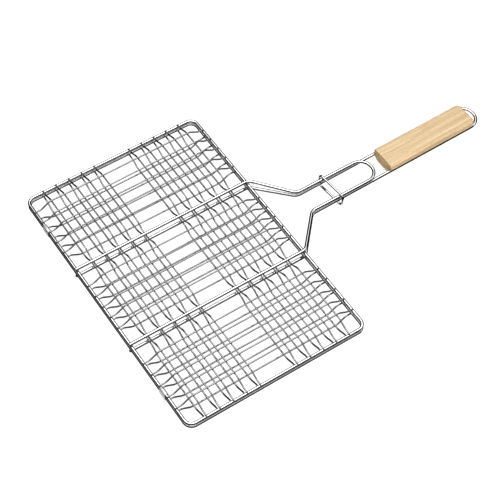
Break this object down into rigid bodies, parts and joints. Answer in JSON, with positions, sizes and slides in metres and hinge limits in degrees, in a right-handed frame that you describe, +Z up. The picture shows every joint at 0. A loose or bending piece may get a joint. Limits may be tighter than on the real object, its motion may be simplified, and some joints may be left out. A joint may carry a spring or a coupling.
{
  "type": "grill basket",
  "caption": "Hinged wire grill basket: two shallow chromed mesh halves that clamp food, a long double-wire handle with a wooden grip, and a sliding lock ring.",
  "frame": {"origin": "centre of the footprint of the shut basket with its handle, on the surface that the lower mesh rests on", "axes": "+X from the hinge towards the end of the handle, +Y along the hinge towards the back section, +Z up through the upper half"},
  "size_m": [0.504, 0.3474, 0.0258],
  "materials": {
    "rim_wire": "bright chrome-plated steel wire",
    "handle_wire": "bright chrome-plated steel wire",
    "mesh_wire": "bright chrome-plated thin steel wire",
    "ring_wire": "bright chrome-plated steel wire",
    "clip_sheet": "satin chrome-plated steel sheet",
    "grip_wood": "pale unvarnished hardwood, sanded smooth"
  },
  "bodies": {
    "lower_half": {"lower_rim": "rim_wire", "lower_handle_wire": "handle_wire", "wood_grip": "grip_wood", "lower_cross_wire_01": "mesh_wire", "lower_cross_wire_02": "mesh_wire", "lower_cross_wire_03": "mesh_wire", "lower_cross_wire_04": "mesh_wire", "lower_cross_wire_05": "mesh_wire", "lower_cross_wire_06": "mesh_wire", "lower_cross_wire_07": "mesh_wire", "lower_cross_wire_08": "mesh_wire", "lower_cross_wire_09": "mesh_wire", "lower_cross_wire_10": "mesh_wire", "lower_cross_wire_11": "mesh_wire", "lower_cross_wire_12": "mesh_wire", "lower_cross_wire_13": "mesh_wire", "lower_cross_wire_14": "mesh_wire", "lower_cross_wire_15": "mesh_wire", "lower_long_wire_01": "mesh_wire", "lower_long_wire_02": "mesh_wire", "lower_long_wire_03": "mesh_wire", "lower_long_wire_04": "mesh_wire", "lower_long_wire_05": "mesh_wire", "lower_long_wire_06": "mesh_wire", "lower_long_wire_07": "mesh_wire", "lower_long_wire_08": "mesh_wire", "lower_long_wire_09": "mesh_wire", "lower_long_wire_10": "mesh_wire"},
    "hinge_clips": {"hinge_clip_back": "clip_sheet", "hinge_clip_front": "clip_sheet"},
    "upper_half": {"upper_rim": "rim_wire", "upper_handle_wire": "handle_wire", "upper_cross_wire_01": "mesh_wire", "upper_cross_wire_02": "mesh_wire", "upper_cross_wire_03": "mesh_wire", "upper_cross_wire_04": "mesh_wire", "upper_cross_wire_05": "mesh_wire", "upper_cross_wire_06": "mesh_wire", "upper_cross_wire_07": "mesh_wire", "upper_cross_wire_08": "mesh_wire", "upper_cross_wire_09": "mesh_wire", "upper_cross_wire_10": "mesh_wire", "upper_cross_wire_11": "mesh_wire", "upper_cross_wire_12": "mesh_wire", "upper_cross_wire_13": "mesh_wire", "upper_cross_wire_14": "mesh_wire", "upper_cross_wire_15": "mesh_wire", "upper_long_wire_01": "mesh_wire", "upper_long_wire_02": "mesh_wire", "upper_long_wire_03": "mesh_wire", "upper_long_wire_04": "mesh_wire", "upper_long_wire_05": "mesh_wire", "upper_long_wire_06": "mesh_wire", "upper_long_wire_07": "mesh_wire", "upper_long_wire_08": "mesh_wire", "upper_long_wire_09": "mesh_wire", "upper_long_wire_10": "mesh_wire"},
    "lock_ring": {"lock_ring": "ring_wire"}
  },
  "joints": [
    {"name": "clip_hinge", "type": "hinge", "parent": "lower_half", "child": "hinge_clips", "pos_m": [-0.24941, 0, 0.01016], "axis": [0, -1, 0], "range_deg": [0, 90]},
    {"name": "upper_hinge", "type": "hinge", "parent": "hinge_clips", "child": "upper_half", "pos_m": [-0.24941, 0, 0.01566], "axis": [0, -1, 0], "range_deg": [0, 90]},
    {"name": "ring_slide", "type": "slide", "parent": "lower_half", "child": "lock_ring", "axis": [1, 0, 0], "range_m": [0, 0.064]}
  ]
}
